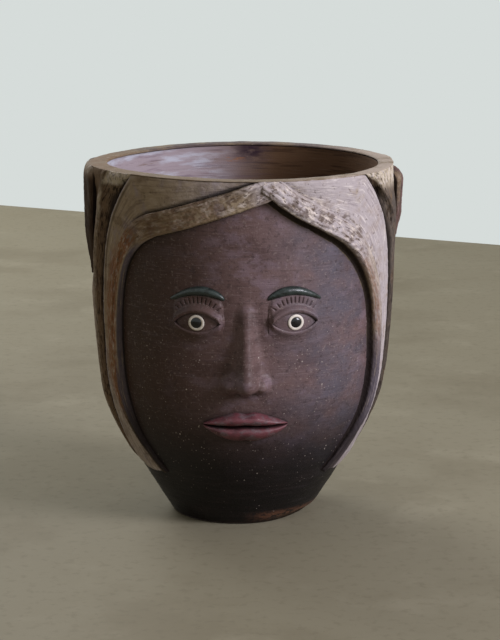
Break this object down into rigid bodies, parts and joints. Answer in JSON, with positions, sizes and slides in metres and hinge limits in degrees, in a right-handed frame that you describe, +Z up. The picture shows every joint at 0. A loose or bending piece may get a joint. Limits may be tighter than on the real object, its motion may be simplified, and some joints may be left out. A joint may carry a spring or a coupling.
{
  "type": "terracotta face planter",
  "caption": "Hand-built terracotta planter in the shape of a head: a flared pot with a rounded rim and a drain hole, an applied face, and a clay shawl draped around it.",
  "frame": {"origin": "centre of the underside of the foot, on the ground", "axes": "+Z up along the axis of the pot; the face looks along -Y; +X is to the right of a viewer in front of the face"},
  "size_m": [0.4093, 0.4027, 0.46],
  "materials": {
    "face_clay": "dark purple-brown stained terracotta, brushed, matt to satin",
    "rim_clay": "taupe washed terracotta, smoothed",
    "shawl_clay": "grey-brown terracotta with a pale wash, matt",
    "fold_clay": "brown terracotta with a thin pale wash, matt",
    "lip_stain": "red-purple stain, satin",
    "brow_glaze": "green-black glaze",
    "white_slip": "white slip",
    "black_glaze": "black glaze"
  },
  "bodies": {
    "root": {"floor_disc": "face_clay", "wall_shell": "face_clay", "rim_coil": "rim_clay", "left_shawl_panel": "shawl_clay", "right_shawl_panel": "shawl_clay", "left_hem_band": "shawl_clay", "right_hem_band": "shawl_clay", "left_back_panel": "fold_clay", "right_back_panel": "fold_clay", "left_side_fold": "fold_clay", "right_side_fold": "fold_clay", "left_outer_fold": "fold_clay", "right_outer_fold": "fold_clay", "nose": "face_clay", "left_nostril_wing": "face_clay", "right_nostril_wing": "face_clay", "upper_lip": "lip_stain", "lower_lip": "lip_stain", "left_brow": "brow_glaze", "right_brow": "brow_glaze", "left_eyeball": "face_clay", "right_eyeball": "face_clay", "left_upper_lid": "face_clay", "right_upper_lid": "face_clay", "left_lower_lid": "face_clay", "right_lower_lid": "face_clay", "left_iris_ring": "white_slip", "right_iris_ring": "white_slip", "left_pupil": "black_glaze", "right_pupil": "black_glaze"}
  },
  "joints": []
}
